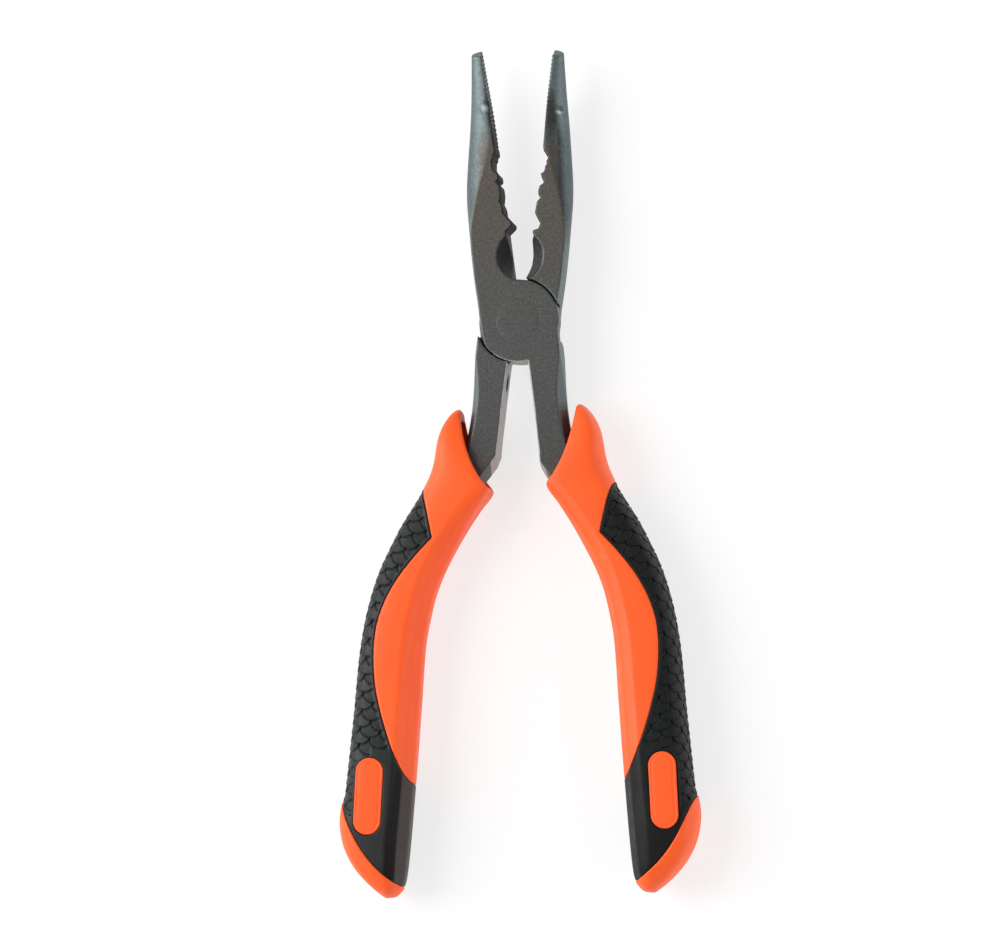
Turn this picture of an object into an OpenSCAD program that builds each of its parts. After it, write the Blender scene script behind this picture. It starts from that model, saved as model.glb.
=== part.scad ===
// Bent-nose fishing pliers with a lap joint and two-colour grips.
// The origin is on the pivot axis at the joint's back face. +Y runs to the tips, +Z to the front.
// Each lever is drawn with the pliers closed, then turned to the opening angle.

/* [Opening] */
// Angle between the two levers, in degrees
open_angle = 15; // [0:0.5:32]

/* [Joint] */
// Thickness of the joint and the shanks
joint_t = 10; // [9:0.5:11]
// Radius of the round joint halves
joint_r = 11.2; // [10.8:0.1:11.6]
// Distance from the pivot to the flat side of each joint half, on the jaw's side
joint_side = 10.1; // [9.5:0.1:10.5]
// Gap round each joint half
recess_gap = 0.3; // [0.2:0.05:0.5]
// Radius of the rivet's flush heads
rivet_head_r = 6; // [5.5:0.1:6.5]
// Thickness of each rivet head
rivet_head_t = 1.5; // [1.2:0.1:1.8]
// Radius of the rivet's shank
rivet_r = 4; // [3.5:0.1:4.4]

/* [Return spring] */
// Wire diameter
wire_d = 1; // [0.8:0.05:1.1]
// Mean radius of the coil
coil_r = 5.9; // [5.6:0.05:6]
// Distance from the pivot to the end of each leg
leg_l = 18; // [15:0.5:18.5]

/* [Jaws] */
// Upward bend of the nose, in degrees
nose_bend = 14; // [1:1:30]
// Distance from the pivot to the start of the bend
bend_start = 51; // [50:0.5:53]
// Length of the bend along the nose
bend_l = 8; // [6:0.5:10]
// Distance from the pivot to the middle of the cutter
cutter_y = 17.4; // [17:0.1:18]
// Depth of the wire crimps, as a share of the full depth
crimp_depth = 1; // [0.5:0.1:1.2]

/* [Grips] */
// Half thickness of a grip
grip_h = 9.3; // [8.8:0.1:10]
// Wall of the hollow guard
guard_wall = 1.8; // [1.4:0.1:2]
// Thickness of the textured sleeve
sleeve_t = 2.6; // [2.2:0.1:2.8]
// Thickness of the tang inside a grip
tang_t = 7; // [6:0.5:7.5]
// Half width of a badge
badge_r = 3.7; // [3.2:0.1:4]
// Distance between the centres of a badge's round ends
badge_l = 13.3; // [11:0.1:13.5]

/* [Hidden] */
$fn = 96;

steel = [0.38, 0.37, 0.35];
bright_steel = [0.62, 0.62, 0.6];
orange = [1, 0.4, 0.16];
black = [0.17, 0.18, 0.18];

mid_z = joint_t / 2;
// Gaps between the joint halves, round a turning part, and between fixed parts
lap_gap = 0.1;
run_gap = 0.05;
fit_gap = 0.04;
// How far a cutting tool runs past the solid
over = 1;
bevel_over = 0.1;

// Spring pocket, shared equally by the two joint halves
pocket_r = 7;
pocket_t = 3;
coil_pitch = wire_d + 0.05;
coil_turns = 1.5;
coil_steps = 44;
wire_sides = 8;

// Jaw stations along the nose: distance, half width and half height of the rounded side
jaw_stations = [[2, 10.2, 40], [12, 10.4, 32], [20, 10.4, 22], [26, 10.4, 13], [30, 10.3, 9],
                [34, 10.1, 7.3], [39, 9.5, 6.2], [45, 8.4, 5.5], [50, 7.4, 5.15], [53, 6.8, 4.9],
                [56, 6.2, 4.7], [59, 5.6, 4.3], [64, 4.7, 3.6], [70, 3.7, 2.7], [74.1, 3, 2]];
jaw_arc_steps = 8;
// Share of a jaw's full height that is left by its flat front and back
flat_share = 0.985;
// Gap that each jaw keeps from the closing line
bite_gap = 0.04;
// The rear jaw's closing face stands back between the tip and the joint
rear_relief = [[1, 61], [0, 61], [-0.7, 48], [-0.9, 36], [-0.8, 24.5], [-0.5, 12], [-0.5, 8], [1, 8]];
// Crimps as distance from the pivot, half length and depth
front_crimps = [[43.3, 2.9, 1.4], [38.1, 0.9, 0.9], [33.2, 1.7, 0.6]];
rear_crimps = [[43.1, 3.4, 2.4], [38.3, 1.9, 2.1], [33.7, 1.7, 1.7]];
tooth = [[-1, 29.4], [bite_gap, 29.4], [1, 27.9], [1.9, 26.7], [1.7, 25.8], [0.8, 25.1], [bite_gap, 24.5],
         [-1, 24.5]];
tooth_notch = [[-0.5, 29.6], [0.7, 29.6], [1.6, 28.3], [2.6, 26.9], [2.3, 25.4], [1.3, 24.9], [0.7, 24.2],
               [-0.5, 24.2]];
// Cutter scoop: radius at the front face, its centre on each jaw, and how far the edge stays from the back
scoop_r = 6.8;
front_scoop_x = 3.4;
rear_scoop_x = 2.2;
scoop_depth = 3.8;
edge_z = 1.2;

// Shank outline, closed, with the handle on the +X side
shank = [[1.4, -4], [1.2, -30], [0.9, -38], [0.9, -40.6], [2.5, -44.4], [5.6, -48.6], [10.8, -49.5],
         [11.6, -46], [10.7, -41], [10.2, -36], [9.8, -30], [9.8, -25], [10, -19], [10.2, -14], [10.25, -9],
         [10.3, -4]];
// Room for the shank's foot in the grip
shank_seat = [[0.8, -40], [2.4, -44.5], [5.5, -48.7], [11, -49.8], [12, -46], [11, -40]];
// Centre line of the tang
tang_line = [[8.6, -46], [10.6, -52], [13.2, -59], [16.4, -68], [19.2, -78], [21.2, -88],
             [21.9, -98], [21.7, -108], [21.4, -118]];
tang_w = 6.4;
// The tang's seat in the grip runs a little past both ends of the tang
seat_start = [7.6, -42];
seat_end = [21.4, -119];
// Bevel along the shank's outer edges: where it starts, its size, and how far it turns into the shank
bevel_start = [10.3, -13];
bevel_w = 1.7;
bevel_h = 4;
bevel_l = 34;
bevel_turn = 5;
bevel_reach = 6;
// Window in the shank's inner side, where a spring leg is hooked in
leg_room = 1.5;
window_top = -14;
window_l = 5.4;
window_h = 3.4;

// Grip stations: outer point, inner point, half thickness as a share, squareness of the section
grip_stations = [
    [[13.6, -25.5], [12.4, -25.9], 0.36, 1],
    [[15.6, -27.4], [11.7, -28.8], 0.64, 1],
    [[17.3, -30.2], [10.5, -32.4], 0.78, 1],
    [[18.2, -33.4], [8.8, -36.2], 0.86, 1],
    [[18.4, -36.6], [6.8, -39.8], 0.9, 1],
    [[18.5, -40], [4.2, -43.2], 0.92, 0.9],
    [[19.1, -43.6], [1.9, -46], 0.93, 0.7],
    [[20.5, -47.8], [4.5, -51.4], 0.94, 0.4],
    [[22.6, -52.5], [7.2, -57.4], 0.95, 0.2],
    [[25.3, -58.4], [9.8, -64.2], 0.95, 0],
    [[27.6, -64.8], [11.8, -70], 0.95, 0],
    [[29.5, -70.8], [13.2, -76], 0.95, 0],
    [[30.8, -77.2], [13.9, -82.5], 0.96, 0],
    [[31.7, -84.8], [14.2, -88.8], 0.96, 0],
    [[32, -93], [13.9, -95.6], 0.97, 0],
    [[31.8, -101], [13.4, -103], 0.98, 0],
    [[31.4, -110], [12.9, -111.5], 0.99, 0],
    [[31.2, -118], [12.4, -120], 1, 0],
    [[31, -126], [12, -128], 1, 0],
    [[30.9, -133], [11.6, -136], 1, 0],
    [[31.1, -138.2], [11.3, -143], 1, 0],
    [[30.4, -142.4], [11.1, -149.5], 0.94, 0],
    [[28.6, -147], [11.2, -153.6], 0.86, 0],
    [[25.4, -151.5], [12, -155.8], 0.74, 0],
    [[21.2, -155.2], [13.4, -157.6], 0.56, 0],
    [[17.4, -157.8], [15, -158.3], 0.3, 0]];
// Stations where the guard's hollow ends and the core under the sleeve starts
guard_floor = 5.8;
core_start = 6;
// How far the guard's hollow runs past its open side
hollow_reach = 5;
// Half height of the areas that part the grips into pieces
area_h = 12;
// Half a section from the outer side over the front to the inner side, faceted and square
faceted_half = [[1, 0], [0.97, 0.4], [0.87, 0.72], [0.68, 0.93], [0.42, 1], [-0.45, 1],
                [-0.75, 0.8], [-1, 0.3]];
square_half = [[1, 0], [0.97, 0.4], [0.87, 0.72], [0.68, 0.93], [0.42, 1], [-0.7, 1],
               [-0.94, 0.98], [-1, 0.9]];

// Edge of the sleeve, from the outer side below the guard round to the inner side
sleeve_top = [[24, -44.6], [20, -47.1], [17.4, -53.9], [15, -60.9]];
sleeve_edge = [[15, -60.9], [19, -66.4], [23.7, -74.6], [26.6, -84], [26.7, -93.5], [24.4, -104.5],
               [19.5, -116.3], [15.2, -124], [12.4, -127], [8, -127.8]];
// Edge between the sleeve and the butt cap
butt_edge = [[8, -155], [12.4, -154.6], [17.2, -152], [21.6, -148.2], [25.4, -143.6],
             [28.6, -138.4], [32.4, -131]];
// Plan corners beyond the grip: its outer side, and below the butt
sleeve_side = 38;
butt_side_y = -131;
butt_low_y = -164;
// The grips sit a little further up the front lever than up the rear one
grip_shift = 0.5;

// Badge: centre of its upper end and turn, its thickness and height over the grip, its rim and sunk middle
badge_x = 23.4;
badge_y = -125.5;
badge_turn = -4.5;
badge_t = 1.6;
badge_proud = 0.2;
badge_rim = 0.9;
badge_sink = 0.3;

// A point on a smooth curve through p1 and p2
function curve_point(p0, p1, p2, p3, t) =
    0.5 * (2 * p1 + (p2 - p0) * t + (2 * p0 - 5 * p1 + 4 * p2 - p3) * t * t
           + (3 * p1 - p0 - 3 * p2 + p3) * t * t * t);

// A smooth curve through all the points
function smooth(points, steps) =
    let (last = len(points) - 1)
    [for (i = [0:last - 1], s = [0:steps - 1])
        curve_point(points[max(i - 1, 0)], points[i], points[i + 1], points[min(i + 2, last)], s / steps),
     points[last]];

// Unit vector along a line of points at index i
function along(points, i) =
    let (last = len(points) - 1, v = points[min(i + 1, last)] - points[max(i - 1, 0)]) v / norm(v);

// The line of points moved sideways by d, to the left of its direction
function sideways(points, d) =
    [for (i = [0:len(points) - 1]) let (v = along(points, i)) points[i] + d * [-v.y, v.x]];

// Outline of a band of half width w along a line of points
function band(points, w) =
    let (right = sideways(points, -w), left = sideways(points, w))
    concat(right, [for (i = [len(left) - 1:-1:0]) left[i]]);

// A closed skin over a stack of rings
module skin(rings) {
    n = len(rings[0]);
    m = len(rings);
    sides = [for (i = [0:m - 2], j = [0:n - 1])
        let (a = i * n + j, b = i * n + (j + 1) % n) each [[a, b + n, b], [a, a + n, b + n]]];
    start = [for (j = [0:n - 1]) j];
    end = [for (j = [n - 1:-1:0]) (m - 1) * n + j];
    polyhedron([for (r = rings) each r], concat([start], sides, [end]));
}

// Height and reach of the nose's centre line at distance s, and its slope
function nose_slope(s) = nose_bend * min(max((s - bend_start) / bend_l, 0), 1);
function bend_r() = bend_l / (nose_bend * PI / 180);
function nose_y(s) = let (a = nose_slope(s))
    min(s, bend_start) + bend_r() * sin(a) + max(s - bend_start - bend_l, 0) * cos(a);
function nose_z(s) = let (a = nose_slope(s))
    mid_z + bend_r() * (1 - cos(a)) + max(s - bend_start - bend_l, 0) * sin(a);

// One jaw section: flat on the closing line, rounded on the outside, cut flat front and back
function jaw_ring(station) =
    let (s = station[0], w = station[1], h = station[2], cut = min(mid_z, flat_share * h), a = nose_slope(s),
         flank = [for (i = [0:jaw_arc_steps]) let (z = cut * sin(-90 + 180 * i / jaw_arc_steps))
             [-w * sqrt(1 - pow(z / h, 2)), z]],
         ring = concat([[-bite_gap, cut], [-bite_gap, -cut]], flank))
    [for (p = ring) [p[0], nose_y(s) - p[1] * sin(a), nose_z(s) + p[1] * cos(a)]];

// A shallow round crimp across a jaw's closing face
module crimp(y, half_l, depth) {
    d = depth * crimp_depth;
    r = (half_l * half_l + d * d) / (2 * d);
    translate([r - d, y, -over]) cylinder(r = r, h = joint_t + 2 * over);
}

// The conical scoop that leaves a cutting edge near the back face
module cutter_scoop(x) {
    edge_r = scoop_r - scoop_depth;
    slope = scoop_depth / (joint_t - edge_z);
    translate([x, cutter_y, edge_z])
        cylinder(r1 = edge_r, r2 = scoop_r + over * slope, h = joint_t - edge_z + over);
}

// Bevels on the outer edges of the shank's front and back
module shank_bevels() {
    for (side = [0, 1])
        translate([bevel_start.x, bevel_start.y, mid_z]) mirror([0, 0, side]) rotate(-bevel_turn)
            translate([0, -bevel_l, 0]) rotate([-90, 0, 0]) linear_extrude(bevel_l)
                polygon([[0, -mid_z - bevel_over], [bevel_w, -mid_z + bevel_h],
                         [bevel_reach, -mid_z + bevel_h], [bevel_reach, -mid_z - bevel_over]]);
}

// Seats cut into a lever's joint half for the rivet, the coil and a spring leg
module joint_cuts(is_front, gap) {
    head_z = is_front ? joint_t - rivet_head_t : -over;
    leg_z = mid_z + (is_front ? 1 : -1) * coil_pitch * coil_turns / 2;
    translate([0, 0, -over]) cylinder(r = rivet_r + gap, h = joint_t + 2 * over);
    translate([0, 0, head_z - (is_front ? gap : 0)])
        cylinder(r = rivet_head_r + gap, h = rivet_head_t + over + gap);
    translate([0, 0, mid_z - pocket_t / 2]) cylinder(r = pocket_r, h = pocket_t);
    translate([coil_r - leg_room / 2, -leg_l - over, leg_z - leg_room / 2])
        cube([leg_room, leg_l + over, leg_room]);
    translate([0, window_top - window_l, leg_z - window_h / 2]) cube([coil_r + over, window_l, window_h]);
}

// A joint half before the recess: a disc with a flat side where the jaw starts
module joint_disc() {
    intersection() {
        cylinder(r = joint_r, h = joint_t);
        translate([-joint_side, -joint_r, 0]) cube([joint_side + joint_r, 2 * joint_r, joint_t]);
    }
}

// A lever with its jaw on the -X side and its handle on the +X side
module lever(is_front) {
    recess_z = is_front ? -over : mid_z - lap_gap / 2;
    gap = is_front ? 0 : run_gap;
    difference() {
        union() {
            skin([for (station = jaw_stations) jaw_ring(station)]);
            joint_disc();
            difference() {
                linear_extrude(joint_t) polygon(shank);
                shank_bevels();
            }
            translate([0, 0, mid_z - tang_t / 2]) linear_extrude(tang_t)
                polygon(band(smooth(tang_line, 2), tang_w / 2));
            if (is_front)
                linear_extrude(joint_t) polygon(tooth);
        }
        translate([0, 0, recess_z]) cylinder(r = joint_r + recess_gap, h = mid_z + over + lap_gap / 2);
        joint_cuts(is_front, gap);
        cutter_scoop(is_front ? front_scoop_x : rear_scoop_x);
        for (c = is_front ? front_crimps : rear_crimps)
            crimp(c[0], c[1], c[2]);
        if (!is_front)
            translate([0, 0, -over]) linear_extrude(joint_t + 2 * over) {
                polygon([for (p = tooth_notch) [-p.x, p.y]]);
                polygon(rear_relief);
            }
    }
}

// A grip section at one station, moved in by d
function grip_ring(station, d) =
    let (outer = station[0], inner = station[1], q = station[3], half_w = norm(outer - inner) / 2 - d,
         half_h = station[2] * grip_h - d, dir = (outer - inner) / norm(outer - inner),
         centre = (outer + inner) / 2, n = len(faceted_half),
         half = [for (i = [0:n - 1]) faceted_half[i] * (1 - q) + square_half[i] * q],
         ring = concat(half, [for (i = [n - 1:-1:1]) [half[i][0], -half[i][1]]]))
    [for (p = ring) let (flat = centre + dir * half_w * p[0]) [flat.x, flat.y, mid_z + half_h * p[1]]];

// The whole outside of a grip, moved in by d
module grip_blank(d = 0) {
    last = len(grip_stations) - 1;
    first = d > 0 ? core_start : 0;
    skin([for (i = [first:d > 0 ? last - 1 : last]) grip_ring(grip_stations[i], d)]);
}

// A grip station between two listed ones
function station_at(i) =
    let (k = floor(i), t = i - k) (1 - t) * grip_stations[k] + t * grip_stations[k + 1];

// The hollow of the guard, open towards the shank
module guard_hollow() {
    skin([for (i = [1, 2, 3, 4, 5, guard_floor])
        let (s = station_at(i), dir = (s[0] - s[1]) / norm(s[0] - s[1]))
        grip_ring([s[0] - dir * guard_wall, s[1] - dir * hollow_reach, s[2] - guard_wall / grip_h, 1], 0)]);
}

// Plan area of the sleeve, grown by d
module sleeve_area(d) {
    edge = concat(sideways(sleeve_top, -d), sideways(smooth(sleeve_edge, 4), -d));
    butt = sideways(smooth(butt_edge, 3), -d);
    polygon(concat(edge, butt, [[sleeve_side, butt_side_y], [sleeve_side, sleeve_top[0].y]]));
}

// Space beyond the butt edge, grown by d
module butt_area(d) {
    polygon(concat(sideways(smooth(butt_edge, 3), d),
                   [[sleeve_side, butt_side_y], [sleeve_side, butt_low_y],
                    [0, butt_low_y], [0, butt_edge[0].y]]));
}

module full_height() {
    translate([0, 0, mid_z - area_h]) linear_extrude(2 * area_h) children();
}

module badge_outline(r) {
    translate([badge_x, badge_y]) rotate(badge_turn) union() {
        circle(r);
        translate([0, -badge_l]) circle(r);
        translate([-r, -badge_l]) square([2 * r, badge_l]);
    }
}

// Room for the two badges
module badge_pockets() {
    for (side = [0, 1])
        translate([0, 0, mid_z]) mirror([0, 0, side])
            translate([0, 0, grip_h - badge_t + badge_proud]) linear_extrude(badge_t)
                badge_outline(badge_r + fit_gap);
}

// Grip pieces, drawn for the handle on the +X side. The lever's seats lie shift lower in the shell.
module grip_shell(shift) {
    difference() {
        grip_blank();
        difference() {
            full_height() sleeve_area(fit_gap);
            grip_blank(sleeve_t);
        }
        full_height() butt_area(fit_gap);
        guard_hollow();
        translate([0, -shift, mid_z - tang_t / 2 - fit_gap]) linear_extrude(tang_t + 2 * fit_gap)
            polygon(band(concat([seat_start], smooth(tang_line, 2), [seat_end]), tang_w / 2 + fit_gap));
        translate([0, -shift, -fit_gap]) linear_extrude(joint_t + 2 * fit_gap)
            polygon(shank_seat);
    }
}

module scale_sleeve() {
    difference() {
        intersection() {
            grip_blank();
            full_height() sleeve_area(0);
        }
        grip_blank(sleeve_t - fit_gap);
        badge_pockets();
    }
}

module butt_cap() {
    intersection() {
        grip_blank();
        full_height() butt_area(0);
    }
}

// A badge plate with a raised rim, on the front
module badge() {
    difference() {
        translate([0, 0, mid_z + grip_h - badge_t + badge_proud + fit_gap])
            linear_extrude(badge_t - fit_gap) badge_outline(badge_r);
        translate([0, 0, mid_z + grip_h + badge_proud - badge_sink])
            linear_extrude(over) badge_outline(badge_r - badge_rim);
    }
}

module on_back() {
    translate([0, 0, 2 * mid_z]) mirror([0, 0, 1]) children();
}

// The front lever carries the left jaw and the right handle
module front_side() {
    rotate(open_angle / 2) children();
}

// The rear lever carries the right jaw and the left handle
module rear_side() {
    rotate(-open_angle / 2) mirror([1, 0, 0]) children();
}

// Places of the grip pieces on the two levers
module right_grip() {
    front_side() translate([0, grip_shift, 0]) children();
}

module left_grip() {
    rear_side() translate([0, -grip_shift, 0]) children();
}

module front_lever() { color(steel) front_side() lever(true); }
module rear_lever() { color(steel) rear_side() lever(false); }

// A rivet with two flush heads, fast in the front lever
module pivot_rivet() {
    color(bright_steel) union() {
        cylinder(r = rivet_r, h = joint_t);
        cylinder(r = rivet_head_r, h = rivet_head_t);
        translate([0, 0, joint_t - rivet_head_t]) cylinder(r = rivet_head_r, h = rivet_head_t);
    }
}

// Centre line of the spring: up one leg, clockwise round the pivot, down the other leg
function turned(p, a) = [p.x * cos(a) - p.y * sin(a), p.x * sin(a) + p.y * cos(a)];
function spring_line() =
    let (half = open_angle / 2, rise = coil_pitch * coil_turns, low = mid_z - rise / 2,
         rear_foot = turned([-coil_r, -leg_l], -half), front_foot = turned([coil_r, -leg_l], half),
         sweep = 360 * coil_turns - open_angle,
         coil = [for (i = [0:coil_steps]) let (a = 180 - half - sweep * i / coil_steps)
             [coil_r * cos(a), coil_r * sin(a), low + rise * i / coil_steps]])
    concat([[rear_foot.x, rear_foot.y, low]], coil, [[front_foot.x, front_foot.y, low + rise]]);

module return_spring() {
    line = spring_line();
    color(bright_steel) skin([for (i = [0:len(line) - 1])
        let (v = along(line, i), side = [v.y, -v.x, 0] / norm([v.x, v.y]), up = cross(side, v))
        [for (j = [0:wire_sides - 1]) let (a = 360 * j / wire_sides)
            line[i] + wire_d / 2 * (side * cos(a) + up * sin(a))]]);
}

module right_grip_shell() { color(orange) right_grip() grip_shell(grip_shift); }
module right_scale_sleeve() { color(black) right_grip() scale_sleeve(); }
module right_butt_cap() { color(orange) right_grip() butt_cap(); }
module right_badge_front() { color(orange) right_grip() badge(); }
module right_badge_back() { color(orange) right_grip() on_back() badge(); }
module left_grip_shell() { color(orange) left_grip() grip_shell(-grip_shift); }
module left_scale_sleeve() { color(black) left_grip() scale_sleeve(); }
module left_butt_cap() { color(orange) left_grip() butt_cap(); }
module left_badge_front() { color(orange) left_grip() badge(); }
module left_badge_back() { color(orange) left_grip() on_back() badge(); }

front_lever();
rear_lever();
pivot_rivet();
return_spring();
right_grip_shell();
right_scale_sleeve();
right_butt_cap();
right_badge_front();
right_badge_back();
left_grip_shell();
left_scale_sleeve();
left_butt_cap();
left_badge_front();
left_badge_back();
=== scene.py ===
"""Looks of the bent-nose fishing pliers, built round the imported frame.

Each lever and each handle is shaped as a distance field in millimetres, with the pliers closed, the jaw on
the -X side and the handle on the +X side. A field is negative inside the part. Its zero surface becomes the
mesh, which is then turned to the opening angle and scaled to metres. The rear lever is the mirror image.
"""

import math

import bpy
import mathutils
import numpy as np
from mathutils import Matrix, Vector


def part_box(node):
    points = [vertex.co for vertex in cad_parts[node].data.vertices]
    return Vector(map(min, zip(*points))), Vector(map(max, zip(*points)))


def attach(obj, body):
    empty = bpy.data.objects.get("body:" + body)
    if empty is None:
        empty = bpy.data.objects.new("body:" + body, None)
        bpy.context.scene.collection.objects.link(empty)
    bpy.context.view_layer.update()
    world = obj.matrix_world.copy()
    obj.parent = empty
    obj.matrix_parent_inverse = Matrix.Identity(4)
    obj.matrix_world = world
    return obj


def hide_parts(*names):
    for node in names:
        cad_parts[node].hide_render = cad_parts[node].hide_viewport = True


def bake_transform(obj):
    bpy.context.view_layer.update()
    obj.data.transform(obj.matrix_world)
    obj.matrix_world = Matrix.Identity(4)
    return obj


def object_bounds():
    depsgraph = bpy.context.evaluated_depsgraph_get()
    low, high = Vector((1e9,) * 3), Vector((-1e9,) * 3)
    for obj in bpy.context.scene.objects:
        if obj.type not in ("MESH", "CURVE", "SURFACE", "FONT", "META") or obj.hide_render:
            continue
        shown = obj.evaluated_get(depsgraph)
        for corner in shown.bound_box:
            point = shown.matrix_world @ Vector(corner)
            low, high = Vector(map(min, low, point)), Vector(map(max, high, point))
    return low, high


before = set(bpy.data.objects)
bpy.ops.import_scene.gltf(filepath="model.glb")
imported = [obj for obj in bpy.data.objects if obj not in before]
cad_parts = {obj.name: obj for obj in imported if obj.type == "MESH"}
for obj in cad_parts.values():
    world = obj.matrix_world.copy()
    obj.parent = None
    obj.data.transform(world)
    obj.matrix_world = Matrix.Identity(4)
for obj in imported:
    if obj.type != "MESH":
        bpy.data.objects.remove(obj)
cad_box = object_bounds()

MM = 0.001
HALF_OPENING = math.radians(7.5)

# The joint: its thickness and the rivet's heads as packed, its other sizes, and the gaps round it
RIVET_LOW, RIVET_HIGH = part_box("pivot_rivet")
JOINT_T = (RIVET_HIGH.z - RIVET_LOW.z) / MM
RIVET_HEAD_R = (RIVET_HIGH.x - RIVET_LOW.x) / 2 / MM
MID_Z = JOINT_T / 2
RIVET_R = 4
RIVET_HEAD_T = 1.5
JOINT_R = 11.2
JOINT_SIDE = 10.1
RECESS_GAP = 0.4
# The front lever's shoulder under the rear half is eased outwards of a sloping line through this point
EASE_AT = (9.5, -4.5)
EASE_SLOPE = 0.25
RUN_GAP = 0.05
HEAD_LAP = 0.4
HEAD_PROUD = 0.02
LAP_GAP = 0.1

# Return spring and the room that it has in the levers
WIRE_D = 1
COIL_R = 5.9
COIL_PITCH = 1.05
COIL_TURNS = 1.5
LEG_L = 18
POCKET_R = 7
POCKET_T = 3
GROOVE_W = 1.5
WINDOW_TOP = -14
WINDOW_L = 5.4
WINDOW_H = 3.4

# Nose: start and length of the bend, its angle, and where the nose ends
BEND_START = 51
BEND_L = 8
NOSE_BEND = math.radians(14)
NOSE_END = 74.1
TIP_SLANT = math.radians(14)
# Jaw stations: distance along the nose, half width, half height
JAW = [(-12, 10.2, 40), (2, 10.2, 40), (12, 10.4, 32), (20, 10.4, 22), (26, 10.4, 13), (30, 10.3, 9),
       (34, 10.1, 7.15), (39, 9.5, 6), (45, 8.4, 5.32), (50, 7.4, 5.1), (53, 6.8, 4.9), (56, 6.2, 4.7),
       (59, 5.6, 4.3), (64, 4.7, 3.6), (70, 3.7, 2.7), (74.5, 3, 2)]
# Gap between a jaw's face and the closing line, and the share of the half height where the front is flat
BITE_GAP = 0.04
FLAT_SHARE = 0.985
# Closing faces from the nose down to the cutter: distance from the pivot and depth of the cut
FRONT_BITE = [(46.2, 0), (45.6, 0.75), (44.9, 0.7), (44.4, 1.2), (42.4, 1.45), (41.4, 0.95), (40.3, 0.1),
              (39.5, 0), (38.8, 0.1), (38.4, 0.95), (37.2, 0.1), (36.2, 0), (35.3, 0.05), (33.5, 0.4),
              (33, 0.6), (31.8, 0.2), (31, 0)]
REAR_BITE = [(61, 0), (48, 0.7), (46.7, 0.95), (44.8, 2.45), (43.8, 2.1), (43.2, 2.3), (42.3, 1.9), (41.7, 2),
             (40.7, 1.65), (40.4, 0.95), (39.2, 1.45), (38, 2.2), (37, 1.15), (35.7, 0.95), (34.6, 1.1),
             (33.7, 1.75), (32.7, 1), (31.1, 0.9), (29.5, 0.85), (28.3, 1.6), (26.9, 2.65), (25.4, 2.3),
             (24.9, 1.1), (24.4, 0.85), (23.4, 1.3), (22.4, 0.7), (12, 0.5), (8, 0.5)]
# Outline of the tooth on the front jaw
TOOTH = [(-1, 29.5), (0, 29.4), (1.05, 27.9), (2, 26.7), (1.75, 25.8), (0.9, 25.1), (0, 24.5), (-1, 24.5)]
# A small boss on each nose, where the flat front runs out: place, radius, height over the nose, and its
# distance from the closing line
BOSS = {"front": (-1.3, 59.9), "rear": (-4.2, 58.5)}
BOSS_R = {"front": 1.6, "rear": 1.1}
BOSS_H = 0.06
BOSS_EDGE = 0.5
# Fine teeth on the nose
SERRATION_START = 47.8
SERRATION_PITCH = 1.1
SERRATION_DEPTH = 0.28
# Conical scoop of the cutter, which leaves an edge this far from the back
CUTTER_Y = 17.4
SCOOP_R = 6.8
SCOOP_X = {"front": 3.4, "rear": 2.2}
SCOOP_DEPTH = 3.8
EDGE_Z = 1.2

# Painted shade on the jaws' cut faces lies inwards of this line: distances from the pivot and from the
# closing line
INNER_Y = [10, 24, 30, 47, 50, 60]
INNER_X = [-5, -4, -2.9, -2.7, -0.6, -0.4]
# How dark the painted shade on the cut faces is along the jaw, paler in the scoop
CUT_Y = [10.5, 11, 23, 24.5]
CUT_SHARE = [0, 0.85, 0.85, 1]
CUT_BLEND = 0.3
# Painted shade darkens the steel inwards of this line, next to the flat faces
SHADE_Y = {"front": [48, 52, 58, 62, 66], "rear": [24, 31, 38, 45, 50, 54, 58, 62, 66]}
SHADE_X = {"front": [-1, -1.2, -1.2, -0.9, 0], "rear": [-10.4, -9.2, -7.6, -6.2, -5.4, -4, -2.9, -2.2, 0]}
SHADE_BLEND = 1.4
SHADE_FADE = ([20, 30, 60, 66], [0, 1, 1, 0])
# Painted highlights on the tops of the bosses and on the inner sides of the shanks, and the plain ring round
# the rivet, which keeps no painted side reflection
HIGHLIGHT_CORE = 1.3
HIGHLIGHT_SHARE = 0.6
SHANK_HIGHLIGHT_X = 2.3
SHANK_HIGHLIGHT_Y = -8
PLAIN_RING = 0.6

# Outline of the shank, from the joint down the inner side and up the outer side
SHANK = [(1.4, -4), (1.2, -30), (0.9, -38), (0.9, -40.6), (2.5, -44.4), (5.6, -48.6), (10.8, -49.5),
         (11.6, -46), (10.7, -41), (10.2, -36), (9.8, -30), (9.8, -25), (10, -19), (10.2, -14), (10.25, -9),
         (10.3, -4)]
# Where the outer bevel starts on the front and back, and its width and drop
BEVEL = [(14, 0), (10.7, -9.5), (9.8, -12.8), (9, -16.5), (8.3, -20.5), (8, -25), (8.2, -30), (8.8, -36),
         (10, -44)]
BEVEL_W = 1.9
BEVEL_H = 4.2
# Chamfer at the shank's foot: a point on its front edge, its direction in plan, and its slope
TOE_AT = {"front": (1.4, -40), "rear": (0.95, -37)}
TOE_AWAY = (-0.861, -0.508)
TOE_RISE = 0.29
# The part of the tang that ends in the guard
TANG = [(8.6, -46), (10.6, -52), (13.2, -59)]
TANG_W = 6.4
TANG_T = 7

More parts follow.
